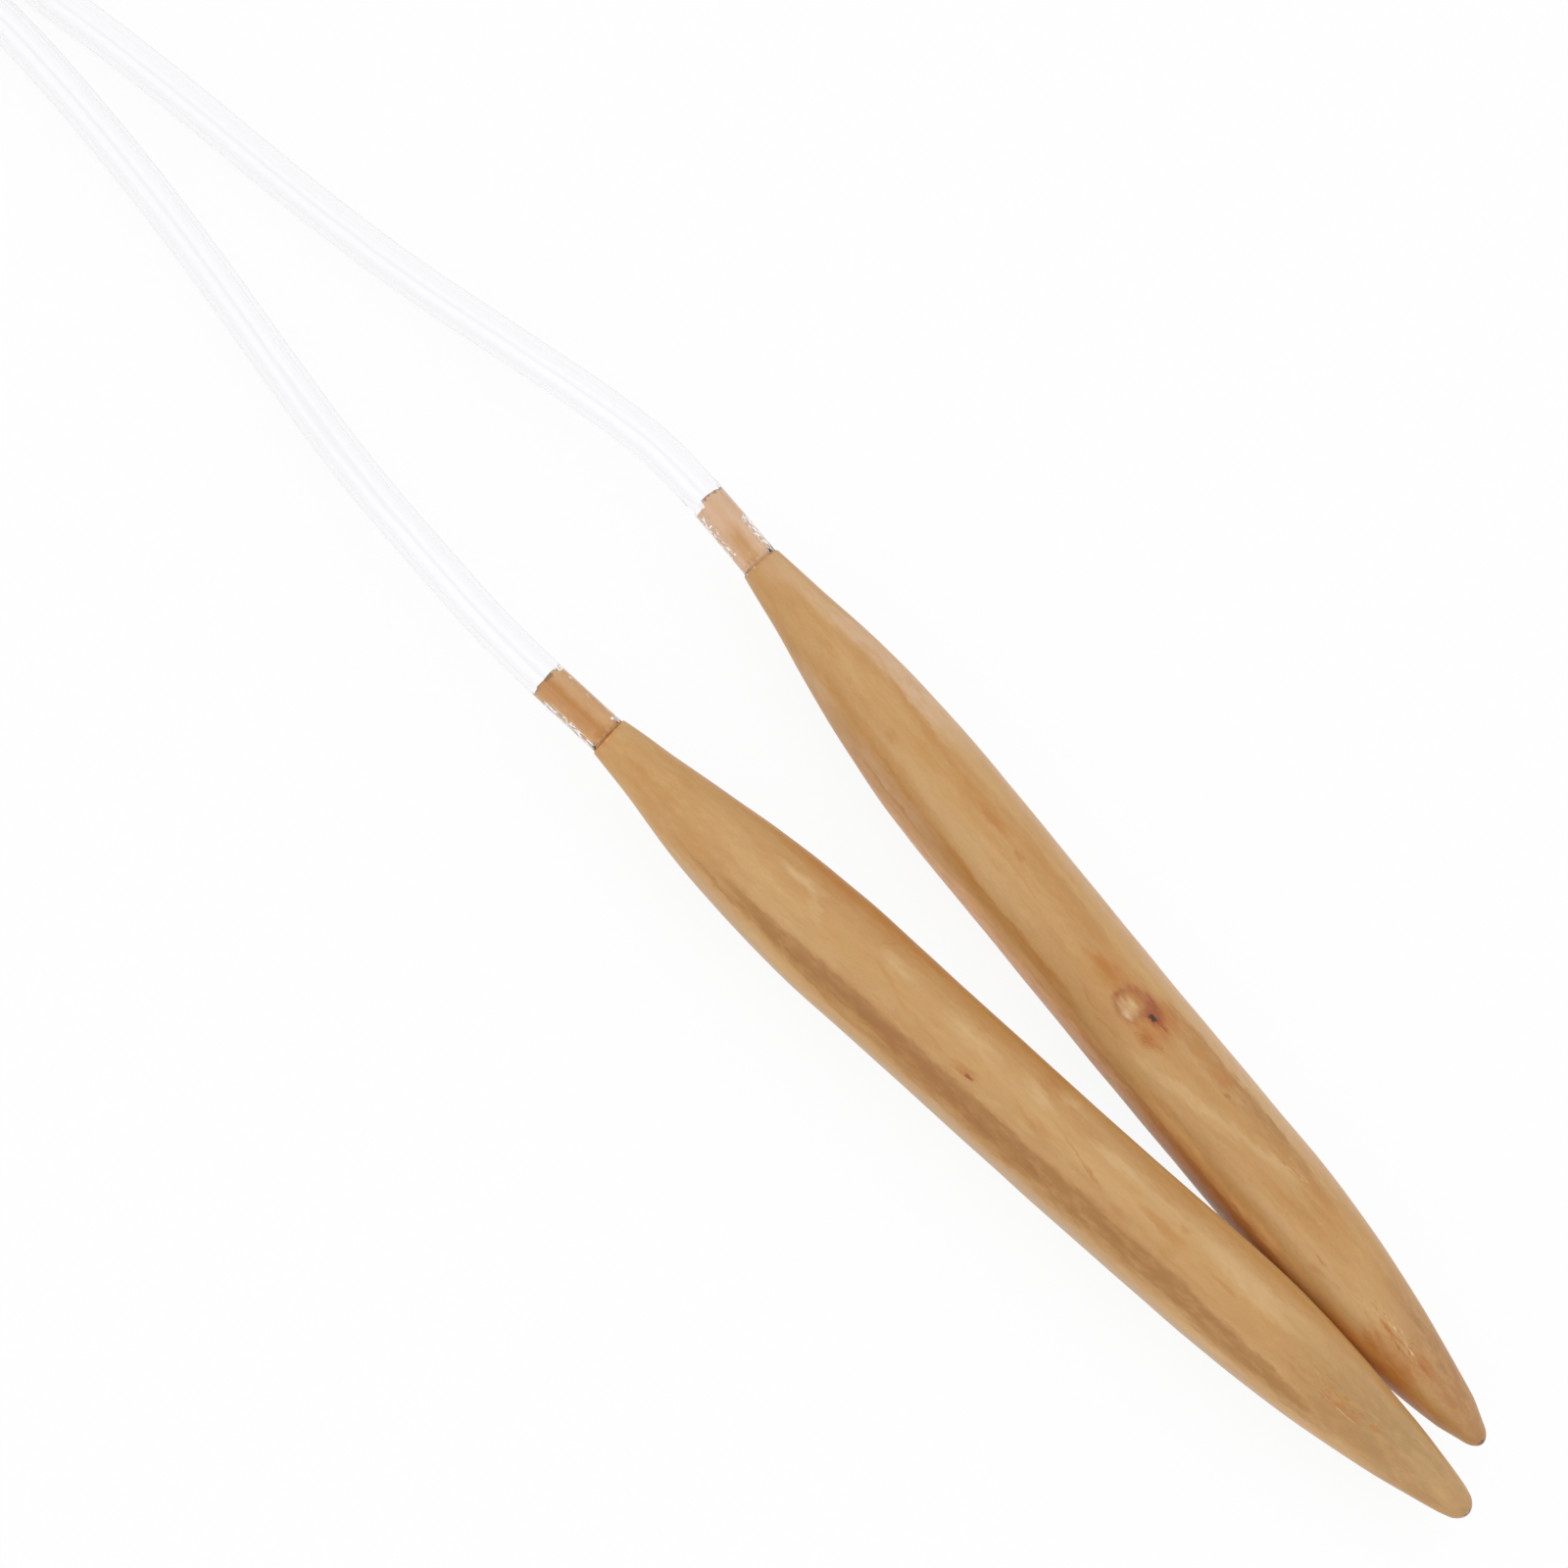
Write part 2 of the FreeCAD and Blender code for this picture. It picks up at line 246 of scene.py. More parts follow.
def make_patch_group():
    """Mask of one patch of colour: the wood's figure, and in some patches painted shade and light; usually
    long along the grain.
    """
    tree, given, made = new_group(
        "colour_patch",
        [("Place", "Vector"), ("Middle", "Vector"), ("Half Size", "Vector"), ("Slant", "Float"),
         ("Softness", "Float"), ("Mottle", "Float")],
        [("Mask", "Float")])
    off = vector_maths(tree, "SUBTRACT", given["Place"], given["Middle"])
    turned = add_node(tree, "VectorRotate", [("Vector", off), ("Angle", given["Slant"])],
                      rotation_type="Z_AXIS", invert=True).outputs[0]
    share = vector_maths(tree, "DIVIDE", turned, given["Half Size"])
    reach = add_node(tree, "VectorMath", [(0, share)], operation="LENGTH").outputs["Value"]
    core = maths(tree, "SUBTRACT", 1.0, given["Softness"])
    mask = maths(tree, "MULTIPLY", ramp(tree, reach, core, 1.0, 1.0, 0.0), given["Mottle"])
    tree.links.new(mask, made["Mask"])
    return tree


def make_figure_group():
    """The wood's own figure: broad pale and honey zones, amber streaks, growth lines and fine mottling."""
    tree, given, made = new_group(
        "wood_figure",
        [("Place", "Vector"), ("Pale", "Color"), ("Honey", "Color"), ("Amber", "Color"),
         ("Streaks", "Float")],
        [("Color", "Color"), ("Height", "Float")])
    place = given["Place"]
    broad = speckle(tree, stretch(tree, place, (46, 5, 5)), 2.0, 0.5)
    colour = blend_colour(tree, ramp(tree, broad, 0.36, 0.66), given["Honey"], given["Pale"])
    streak = speckle(tree, stretch(tree, place, (28, 2.2, 2.2), (7, 3, 1)), 3.0, 0.55, 0.4)
    streaks = maths(tree, "MULTIPLY", ramp(tree, streak, 0.52, 0.72), given["Streaks"])
    colour = blend_colour(tree, streaks, colour, given["Amber"])
    growth = add_node(tree, "TexWave", [
        ("Vector", stretch(tree, place, (90, 3.4, 9), (0, 2, 0))), ("Scale", 1.0), ("Distortion", 5.0),
        ("Detail", 2.0), ("Detail Scale", 0.7)],
        wave_type="BANDS", bands_direction="Y", wave_profile="SIN").outputs["Fac"]
    lines = maths(tree, "MULTIPLY", ramp(tree, growth, 0.70, 0.98),
                  maths(tree, "MULTIPLY", given["Streaks"], 0.3))
    colour = blend_colour(tree, lines, colour, given["Amber"])
    fibre = speckle(tree, stretch(tree, place, (3.2, 0.30, 0.30)), 3.0, 0.6)
    cloud = speckle(tree, stretch(tree, place, (2.4, 1.5, 1.5), (3, 1, 5)), 3.0, 0.6)
    pores = speckle(tree, stretch(tree, place, (0.34, 0.22, 0.22), (1, 8, 2)), 1.0, 0.5)
    shade = maths(tree, "ADD", ramp(tree, fibre, 0.25, 0.75, 0.965, 1.025),
                  ramp(tree, cloud, 0.25, 0.75, -0.030, 0.030))
    shade = maths(tree, "ADD", shade, ramp(tree, pores, 0.2, 0.8, -0.035, 0.035))
    grey = add_node(tree, "CombineColor", [(0, shade), (1, shade), (2, shade)]).outputs[0]
    colour = blend_colour(tree, 1.0, colour, grey, "MULTIPLY")
    tree.links.new(colour, made["Color"])
    height = maths(tree, "ADD", maths(tree, "MULTIPLY", fibre, 0.7), maths(tree, "MULTIPLY", pores, 0.3))
    tree.links.new(height, made["Height"])
    return tree


def make_scratch_group():
    """Masks of short pale and dark marks along the grain, where the point was shaped by hand."""
    tree, given, made = new_group(
        "shaping_marks", [("Place", "Vector")], [("Dark", "Float"), ("Pale", "Float")])
    marks = speckle(tree, stretch(tree, given["Place"], (4.6, 0.34, 0.34)), 3.0, 0.6, 0.3)
    tree.links.new(ramp(tree, marks, 0.55, 0.66), made["Dark"])
    tree.links.new(ramp(tree, marks, 0.38, 0.29), made["Pale"])
    return tree


COLOUR_PATCH = make_patch_group()
WOOD_FIGURE = make_figure_group()
SHAPING_MARKS = make_scratch_group()

CREAM = linear(212, 175, 124)
PALE = linear(202, 161, 106)
HONEY = linear(193, 145, 85)
TAN = linear(182, 134, 78)
AMBER = linear(184, 129, 62)
ORANGE = linear(180, 113, 48)
OLIVE = linear(160, 111, 50)
BROWN = linear(154, 98, 42)
RUST = linear(152, 78, 36)
PINK = linear(210, 172, 134)
DARK = linear(52, 22, 20)
EDGE = linear(92, 70, 62)
SCRATCH = linear(226, 198, 162)
# GREIGE is a painted reflection of the white floor along the lower rim of the front needle
GREIGE = linear(186, 156, 122)
KHAKI = linear(168, 130, 82)
RUSSET = linear(168, 119, 72)
# GLOW and BLUSH are painted light from the white floor on the rear needle's lower side; FLAME is the orange
# stain at the shoulder and painted light there too
GLOW = linear(236, 184, 120)
FLAME = linear(222, 146, 70)
BLUSH = linear(250, 206, 160)
# SPIGOT_FOOT is painted light: a pale band at the foot of each spigot, next to the shoulder, where shade
# falls
SPIGOT_FOOT = linear(255, 226, 190)
SPIGOT_PALE = linear(250, 212, 176)
SPIGOT_STAIN = linear(214, 140, 40)
GLUE_WHITE = linear(244, 238, 228)
GLUE_CREAM = linear(224, 206, 184)

# Each patch: place along and across the needle's upper side, half size along and across, slant in
# degrees, softness of its edge, strength and colour. Lengths are in millimetres. Most are the wood's own
# figure; the patches marked below are painted shade and painted light.
FRONT_PATCHES = [
    ((12, -0.5), (26, 8.0), 0, 0.7, 0.45, AMBER),
    ((30, -6.4), (16, 1.8), -5, 0.8, 0.45, TAN),
    ((182, 0.5), (40, 9.5), 0, 0.8, 0.75, KHAKI),
    ((95, 1.6), (66, 4.4), 0, 0.5, 0.40, PALE),
    ((120, -1.8), (62, 2.6), 0, 0.8, 0.45, TAN),
    # The amber band along the top edge of the front needle: partly the wood's amber figure, partly painted
    # shade along that edge
    ((62, 8.5), (42, 2.9), 0, 0.25, 0.55, AMBER),
    ((47, 7.8), (16, 2.2), 0, 0.20, 0.45, AMBER),
    ((59.5, 6.6), (3.4, 0.4), 40, 0.8, 0.40, ORANGE),
    ((52, 9.0), (28, 2.2), 0, 0.5, 0.40, ORANGE),
    ((84, 7.6), (12, 2.1), -2, 0.35, 0.45, AMBER),
    ((96, 7.4), (4.2, 2.3), 12, 0.9, 0.60, ORANGE),
    ((124, 7.4), (9, 2.2), 4, 0.5, 0.45, AMBER),
    ((150, 8.8), (50, 1.8), 0, 0.6, 0.35, AMBER),
    ((112, 8.2), (10, 1.6), 0, 0.6, 0.40, TAN),
    ((100.4, 6.8), (3.4, 0.9), 30, 0.9, 0.30, CREAM),
    ((40, 4.4), (7.5, 1.7), 4, 0.9, 0.75, CREAM),
    ((44.5, 2.4), (5.2, 1.3), -32, 0.9, 0.35, CREAM),
    ((62, 4.3), (6.2, 1.6), 5, 0.9, 0.60, CREAM),
    ((80, 4.0), (9.5, 1.9), -2, 0.9, 0.60, CREAM),
    ((95.6, 4.1), (5.6, 1.7), -14, 0.9, 0.55, CREAM),
    ((113, 4.6), (8.5, 1.1), 0, 0.7, 0.50, CREAM),
    ((142, 3.9), (15, 2.6), -3, 0.9, 0.65, CREAM),
    ((136, -1.0), (13, 1.4), -2, 0.8, 0.20, CREAM),
    ((112, -2.2), (17, 0.9), 1, 0.8, 0.20, CREAM),
    ((63, 1.6), (8.5, 0.8), -24, 0.8, 0.35, AMBER),
    ((72, -0.6), (8, 0.7), -8, 0.8, 0.30, AMBER),
    ((94.5, 0.1), (5.2, 0.5), -14, 0.8, 0.50, AMBER),
    ((99, 0.2), (7.5, 1.3), 4, 0.9, 0.50, AMBER),
    ((106, 1.2), (8.2, 0.6), -15, 0.7, 0.50, AMBER),
    ((111, 0.0), (4.6, 0.4), -9, 0.9, 0.45, ORANGE),
    ((125.5, 1.7), (6.4, 1.4), -3, 0.75, 0.65, AMBER),
    ((129.5, 1.4), (2.6, 1.6), -10, 0.7, 0.45, AMBER),
    ((129, -1.0), (2.6, 2.6), 0, 0.9, 0.35, AMBER),
    ((118, -1.6), (3.4, 0.9), -6, 0.9, 0.30, ORANGE),
    ((139.5, 1.2), (5.2, 0.4), -6, 0.7, 0.55, AMBER),
    ((129, 3.9), (1.8, 0.9), 10, 0.9, 0.55, AMBER),
    # A darker band along the lower side of the front needle: partly the wood's own dark streak, partly
    # painted shade on the side turned from the light
    ((80, -4.6), (40, 1.5), 0.0, 0.45, 0.55, BROWN),
    ((101, -5.2), (72, 2.3), 0.2, 0.38, 0.85, OLIVE),
    ((98, -7.3), (68, 2.1), 0.3, 0.9, 0.80, OLIVE),
    ((44, -5.6), (20, 2.1), -3.5, 0.6, 0.80, OLIVE),
    ((31, -6.3), (12, 0.5), -7, 0.8, 0.50, BROWN),
    ((140, -4.9), (36, 2.2), -1.2, 0.45, 0.60, OLIVE),
    ((76, -5.6), (34, 1.9), -1, 0.7, 0.50, BROWN),
    ((46, -6.0), (5.5, 0.35), -9, 0.7, 0.55, BROWN),
    ((54, -7.6), (9, 0.4), -3, 0.7, 0.40, BROWN),
    ((90, -6.0), (7, 0.4), -8, 0.7, 0.45, BROWN),
    ((103, -5.8), (7, 0.42), -10, 0.6, 0.65, BROWN),
    ((122, -5.0), (8, 0.5), -3, 0.7, 0.40, BROWN),
    ((160, -5.6), (18, 2.2), 1, 0.8, 0.60, OLIVE),
    ((72, -3.9), (34, 1.2), 0, 0.8, 0.40, OLIVE),
    ((80, -3.4), (88, 4.6), 0, 0.6, 0.17, BROWN),
    ((144, -6.9), (17, 1.1), -2, 0.8, 0.50, OLIVE),
    ((172, -3.4), (20, 2.3), 3, 0.8, 0.30, OLIVE),
    # painted reflection: a pale greyish rim along the lower edge of the front needle, where it reflects the
    # white floor
    ((110, -10.2), (84, 2.5), 0, 0.7, 0.85, GREIGE),
    ((34, -9.2), (24, 2.2), -6, 0.8, 0.75, GREIGE),
    ((158, -9.4), (26, 2.2), 2, 0.8, 0.75, GREIGE),
    ((184, -7.0), (22, 2.4), 11, 0.8, 0.85, GREIGE),
    ((124, -8.2), (22, 1.1), 0, 0.8, 0.40, TAN),
    ((166, 3.0), (10, 1.0), 2, 0.8, 0.35, AMBER),
    ((165, 0.5), (12, 0.5), 2, 0.8, 0.45, AMBER),
    ((170, -0.9), (6.0, 0.5), 2, 0.7, 0.65, ORANGE),
    ((177, 0.5), (2.8, 0.3), 4, 0.7, 0.60, ORANGE),
    ((160, -1.4), (5.5, 0.5), 0, 0.8, 0.40, ORANGE),
    ((171, -1.4), (2.4, 0.14), 0, 0.6, 0.45, SCRATCH),
    ((189, 0.6), (10, 2.2), -3, 0.9, 0.20, CREAM),
    ((190, -3.4), (12, 1.3), 9, 0.8, 0.30, OLIVE),
    ((82.6, -1.1), (4.2, 1.2), 2, 0.9, 0.60, ORANGE),
    ((81.6, -0.8), (3.2, 0.28), 3, 0.7, 0.55, ORANGE),
    ((81.8, -1.8), (2.6, 0.26), 4, 0.7, 0.55, ORANGE),
    ((83.9, -1.5), (1.0, 0.55), 12, 0.9, 0.95, RUST),
]
REAR_PATCHES = [
    ((6, 0.0), (20, 6), 0, 0.8, 0.30, AMBER),
    ((20, -0.4), (5, 1.8), 0, 0.9, 0.35, AMBER),
    ((3, 1.2), (8, 3.2), 0, 0.9, 0.50, PINK),
    # painted light: paler pink low on the rear needle, where the front needle shades it
    ((24, -6.4), (10, 1.5), -3, 0.9, 0.60, PINK),
    ((46, -7.4), (22, 2.2), -1, 0.8, 0.60, PINK),
    # painted sheen: pale pink on the upper side of the rear needle's neck, where light falls
    ((35, 6.6), (22, 2.9), 4, 0.8, 1.00, PINK),
    ((18, 4.6), (20, 2.6), 9, 0.9, 0.80, PINK),
    # painted shade: the upper side of the rear point darker
    ((184, 3.0), (28, 5.6), -5, 0.8, 0.85, RUSSET),
    ((56, -2.2), (26, 3.4), 0, 0.7, 0.45, PALE),
    ((34, 1.9), (10, 2.0), 4, 0.8, 0.35, PALE),
    # painted sheen: a pale pink band along the upper edge of the rear needle
    ((105, 9.3), (90, 2.9), 0, 0.7, 0.55, PINK),
    # painted light: the bounce of the white floor along the lower edge of the rear needle, in the shade
    # between the needles
    ((98, -9.7), (84, 3.0), 0, 0.8, 0.80, GLOW),
    ((92, -10.6), (76, 1.9), 0, 0.7, 0.80, BLUSH),
    ((138, -8.6), (32, 2.3), 1, 0.8, 0.75, FLAME),
    ((146, -7.0), (20, 1.9), 3, 0.9, 0.85, GLOW),
    ((124, -6.9), (18, 1.6), 1, 0.9, 0.55, GLOW),
    ((178, -5.6), (22, 2.3), 3, 0.8, 0.85, FLAME),
    # painted sheen on the upper edge as well
    ((50, 7.2), (18, 1.4), 0, 0.7, 0.40, PALE),
    ((68, 4.0), (32, 2.5), 0, 0.45, 0.55, AMBER),
    ((41, 3.9), (14, 1.0), -3.5, 0.6, 0.65, AMBER),
    ((57, 3.0), (9, 1.7), 3, 0.6, 0.60, AMBER),
    ((61, 2.6), (5, 1.2), 4, 0.7, 0.45, ORANGE),
    ((69, 2.1), (1.9, 0.9), 0, 0.8, 0.65, ORANGE),
    ((84, 4.9), (9, 1.8), 2, 0.8, 0.45, TAN),
    ((38.5, -1.8), (2.2, 1.7), 0, 0.9, 0.60, AMBER),
    ((74, -7.0), (34, 1.1), 0, 0.7, 0.25, AMBER),
    ((74, -6.5), (26, 0.45), 0, 0.7, 0.35, ORANGE),
    ((44, -5.6), (9, 0.5), -2, 0.7, 0.50, AMBER),
    ((46, -8.5), (15, 0.4), -1, 0.7, 0.45, ORANGE),
    ((92, -7.0), (9, 1.5), -2, 0.7, 0.30, ORANGE),
    ((126, -8.3), (42, 0.8), 0.5, 0.60, 0.50, ORANGE),
    ((127, 5.3), (27, 2.2), 0.5, 0.30, 0.90, TAN),
    ((130, 6.2), (30, 1.2), 0.5, 0.60, 0.40, OLIVE),
    ((117, 5.0), (10, 1.9), 0, 0.5, 0.55, AMBER),
    ((121, 5.2), (5, 1.6), 0, 0.7, 0.45, ORANGE),
    ((138, 5.0), (10, 1.3), 4, 0.6, 0.50, AMBER),
    ((149, 5.4), (8, 1.3), 0, 0.6, 0.65, AMBER),
    ((152, 3.9), (9, 0.8), 8, 0.6, 0.55, AMBER),
    ((126, -0.6), (25, 3.3), 8, 0.5, 0.60, PALE),
    ((118, -2.2), (14, 1.3), 14, 0.6, 0.50, CREAM),
    ((133, 1.6), (16, 0.9), 10, 0.6, 0.55, CREAM),
    ((139, 3.4), (8, 0.5), 16, 0.7, 0.50, CREAM),
    ((131, -1.4), (17, 0.6), 10, 0.7, 0.45, TAN),
    ((146, 0.6), (14, 0.5), 10, 0.7, 0.40, TAN),
    ((144, -3.0), (14, 1.2), 8, 0.7, 0.40, PALE),
    ((124, -5.2), (14, 1.0), 8, 0.7, 0.35, TAN),
    ((124, 3.7), (0.7, 0.35), 0, 0.7, 0.70, BROWN),
    ((170, 2.6), (18, 2.4), -3, 0.8, 0.40, PALE),
    ((124, 1.6), (74, 3.0), 0, 0.7, 0.14, BROWN),
    ((156, -1.8), (2.0, 0.5), 4, 0.7, 0.55, ORANGE),
    ((157, -3.3), (2.6, 0.5), 4, 0.7, 0.45, ORANGE),
    ((176, -2.6), (11, 3.8), -3, 0.8, 0.60, AMBER),
    ((178, -3.4), (8, 2.4), 0, 0.8, 0.65, ORANGE),
    ((181, -1.0), (4.0, 3.4), 16, 0.9, 0.70, ORANGE),
    ((172.5, -2.4), (3.4, 1.0), -12, 0.8, 0.65, ORANGE),
    ((172, -3.8), (4.0, 0.7), -4, 0.8, 0.60, ORANGE),
    ((174, -0.2), (5.0, 0.5), 2, 0.7, 0.85, ORANGE),
    ((177, -0.9), (4.0, 0.35), 0, 0.7, 0.60, RUST),
    ((182, 1.2), (4.6, 0.9), -14, 0.9, 0.50, ORANGE),
    ((182, 0.2), (4.6, 0.4), -8, 0.9, 0.40, RUST),
    # painted shade at the end of the rear point
    ((193, 0.0), (8.0, 4.0), 0, 0.9, 0.45, RUSSET),
    ((190.5, -0.2), (2.4, 0.4), 3, 0.7, 0.55, ORANGE),
    # painted light: the lower side of the rear point lighter
    ((188, -4.6), (7, 1.0), 8, 0.7, 0.45, PINK),
    ((177.4, 0.35), (2.6, 0.15), -2, 0.5, 0.85, SCRATCH),
    ((173, 0.5), (1.6, 0.12), 4, 0.5, 0.70, SCRATCH),
    ((175, 1.4), (1.6, 0.12), 6, 0.5, 0.55, SCRATCH),
    ((95, -3.9), (4.6, 0.45), -14, 0.7, 0.55, AMBER),
    ((101, -4.9), (4.6, 0.45), 8, 0.7, 0.55, AMBER),
    ((98, -3.6), (8, 1.6), -4, 0.9, 0.35, AMBER),
    # the knot, from its surroundings inwards
    ((93.5, 1.4), (8.0, 3.4), 6, 0.8, 0.90, AMBER),
    ((94.5, 1.9), (5.5, 1.9), 8, 0.8, 0.80, ORANGE),
    ((104, 2.0), (10.0, 5.6), 0, 0.9, 0.95, ORANGE),
    ((107, 4.6), (6.5, 2.3), 2, 0.8, 0.75, ORANGE),
    ((104.0, 3.3), (4.6, 1.8), -4, 0.8, 0.95, RUST),
    ((108.0, -0.6), (3.4, 2.3), 25, 0.8, 0.85, ORANGE),
    ((106.4, -1.0), (2.8, 0.20), 34, 0.9, 0.60, BROWN),
    ((107.4, -0.8), (3.0, 0.20), 33, 0.9, 0.70, BROWN),
    ((108.6, -0.6), (3.0, 0.18), 34, 0.9, 0.70, BROWN),
    ((109.8, -0.2), (2.4, 0.18), 35, 0.9, 0.60, BROWN),
    ((101.0, 1.0), (4.4, 3.7), 0, 0.60, 1.00, RUST),
    ((98.6, 0.1), (1.6, 0.9), 20, 0.9, 0.90, RUST),
    ((101.0, 0.8), (3.2, 2.6), 10, 0.50, 1.00, TAN),
    ((100.9, 2.2), (2.5, 1.0), 0, 0.9, 0.60, ORANGE),
    ((101.3, 0.1), (3.0, 1.9), 0, 0.8, 0.95, CREAM),
    ((102.0, -0.7), (1.8, 0.8), 0, 0.9, 0.50, SCRATCH),
    ((107.2, 2.6), (3.0, 0.34), 6, 0.8, 0.95, RUST),
    ((105.4, 2.4), (2.5, 1.3), 8, 0.8, 1.00, RUST),
    ((105.4, 2.35), (1.5, 0.66), 8, 0.6, 1.00, DARK),
]

# the wood inside the tube, along the middle of the spigot and at its sides
SPIGOT_TONES = {FRONT: (linear(208, 140, 44), linear(238, 188, 126)),
                REAR: (linear(222, 170, 104), linear(252, 216, 178))}
SHOULDER_STAIN = {FRONT: 0.75, REAR: 0.2}  # strength of the orange stain round the shoulder

# in millimetres from the shoulder
SHADED_POINT_ENDS = {FRONT: 200.7, REAR: 199.7}  # where the painted shade at the end of each point is darkest
MARKS_MIDDLE = {FRONT: 168, REAR: 177}  # middle of the marks left by shaping the point
PATCH_DEPTH = 14.0  # half the depth of a colour patch, so that it reaches down the side of the barrel
LONG_PATCH = 5  # a patch of a greater half length follows the wandering grain


def outline_radius(x):
    """Rough radius of a needle at a distance from its shoulder, in millimetres, to lay patches on."""
    barrel, shoulder = BARREL_RADIUS / MM, TUBE_RADIUS / MM
    neck, long = NECK_LENGTH / MM, BODY_LENGTH / MM
    ogive, nose = OGIVE_LENGTH / MM, NOSE_RADIUS / MM
    if x < neck:
        return shoulder + (barrel - shoulder) * math.sin(0.5 * math.pi * x / neck)
    if x < long - ogive:
        return barrel
    reach = (x - long + ogive) / ogive
    return nose + (barrel - nose) * (1 - reach**2)


def lay_patch(tree, colour, nearly, warped, mottle, patch):
    """Lay one patch over the colour: a long one where the grain wanders to, a short one in its place."""
    (along, across), half, slant, softness, strength, over = patch
    up = math.sqrt(max(outline_radius(along) ** 2 - across**2, 1.0))
    mask = use_group(tree, COLOUR_PATCH, [
        ("Place", warped if half[0] > LONG_PATCH else nearly), ("Middle", (along, across, up)),
        ("Half Size", (half[0], half[1], PATCH_DEPTH)), ("Slant", math.radians(slant)),
        ("Softness", softness), ("Mottle", mottle)])[0]
    return blend_colour(tree, maths(tree, "MULTIPLY", mask, strength), colour, over)


def drift(tree, place, detail, rough, reach):
    """A small random offset in millimetres, so that edges in the colour wander."""
    pattern = add_node(tree, "TexNoise", [
        ("Vector", place), ("Scale", 1.0), ("Detail", detail), ("Roughness", rough)]).outputs["Color"]
    centred = vector_maths(tree, "SUBTRACT", pattern, (0.5, 0.5, 0.5))
    return vector_maths(tree, "MULTIPLY", centred, reach)


def wood_material(side):
    """Turned, sanded and oiled pale wood, with this needle's own streaks, and painted shade and painted light
    in its patches and at its point.
    """
    material = bpy.data.materials.new(NAMES[side] + "_wood")
    material.use_nodes = True
    tree = material.node_tree
    shader = tree.nodes["Principled BSDF"]
    spot = add_node(tree, "TexCoord").outputs["Object"]
    # millimetres along the needle, across its upper side and out of it
    own = add_node(tree, "Mapping", [
        ("Vector", spot), ("Location", needle_place(side).translation),
        ("Rotation", (math.pi / 2 - ELEVATION, 0, -side * YAW)), ("Scale", (MM, MM, MM))],
        vector_type="TEXTURE")
    place = own.outputs[0]
    wander = drift(tree, stretch(tree, place, (11, 1.7, 1.7), (5 * side, 0, 2)), 4.0, 0.62, (9.0, 2.2, 0.0))
    slight = drift(tree, stretch(tree, place, (2.6, 0.9, 0.9), (2, 5 * side, 2)), 3.0, 0.6, (3.0, 1.5, 0.0))
    nearly = vector_maths(tree, "ADD", place, slight)
    warped = vector_maths(tree, "ADD", vector_maths(tree, "ADD", place, wander), slight)
    blotch = speckle(tree, stretch(tree, place, (5.0, 1.6, 1.6), (9, 4, 7 * side)), 3.0, 0.65)
    mottle = ramp(tree, blotch, 0.30, 0.62, 0.50, 1.12)
    out = add_node(tree, "SeparateXYZ", [(0, place)]).outputs[2]

    # the far sides show more of the plain figure, which the patches cover on the upper side
    figure = use_group(tree, WOOD_FIGURE, [
        ("Place", vector_maths(tree, "ADD", warped, (37.0 * side, 0, 11.0 * side))),
        ("Pale", PALE), ("Honey", HONEY), ("Amber", AMBER),
        ("Streaks", ramp(tree, out, 3.0, -5.0, 0.30, 0.75))])
    colour = figure["Color"]
    for patch in (FRONT_PATCHES if side == FRONT else REAR_PATCHES):
        colour = lay_patch(tree, colour, nearly, warped, mottle, patch)

    # short marks where the point was shaped
    marks = use_group(tree, SHAPING_MARKS, [("Place", nearly)])
    spread = use_group(tree, COLOUR_PATCH, [
        ("Place", place), ("Middle", (MARKS_MIDDLE[side], 0, 7)), ("Half Size", (17, 3.6, 9)),
        ("Slant", 0.0), ("Softness", 0.8), ("Mottle", 1.0)])[0]
    dark = maths(tree, "MULTIPLY", maths(tree, "MULTIPLY", marks["Dark"], spread), 0.80)
    pale = maths(tree, "MULTIPLY", maths(tree, "MULTIPLY", marks["Pale"], spread), 0.30)
    colour = blend_colour(tree, dark, colour, ORANGE)
    colour = blend_colour(tree, pale, colour, SCRATCH)

    # painted shade at the end of the point, the end of the spigot and the stain at the shoulder
    along, across, _ = add_node(tree, "SeparateXYZ", [(0, nearly)]).outputs
    tip = SHADED_POINT_ENDS[side]
    # painted shade: the end of each point darkens where its surface turns away from the light
    colour = blend_colour(tree, ramp(tree, along, tip - 3.5, tip, 0.0, 0.45), colour, BROWN)
    colour = blend_colour(tree, ramp(tree, along, tip - 0.5, tip, 0.0, 0.85), colour, EDGE)
    middle, rim = SPIGOT_TONES[side]
    off_middle = maths(tree, "ABSOLUTE", maths(tree, "ADD", across, 0.4))
    tone = blend_colour(tree, ramp(tree, off_middle, 0.3, 2.1), middle, rim)
    # painted light at the foot of the spigot, over the shade next to the shoulder
    tone = blend_colour(tree, ramp(tree, along, -1.3, -0.7), tone, SPIGOT_FOOT)
    if side == REAR:
        tone = blend_colour(tree, ramp(tree, along, -5.5, -9.5, 0.0, 0.8), tone, SPIGOT_PALE)
    tone = blend_colour(tree, maths(tree, "MULTIPLY", mottle, 0.22), tone, SPIGOT_STAIN)
    colour = blend_colour(tree, ramp(tree, along, 0.1, -0.3), colour, tone)
    spigot_end = -SPIGOT_LENGTHS[side] / MM
    sawn = ramp(tree, along, spigot_end + 0.55, spigot_end + 0.10, 0.0, 0.60)
    colour = blend_colour(tree, sawn, colour, EDGE)
    band = maths(tree, "MULTIPLY", ramp(tree, along, -1.1, -0.3), ramp(tree, along, 0.5, -0.1))
    colour = blend_colour(tree, maths(tree, "MULTIPLY", band, SHOULDER_STAIN[side]), colour, FLAME)

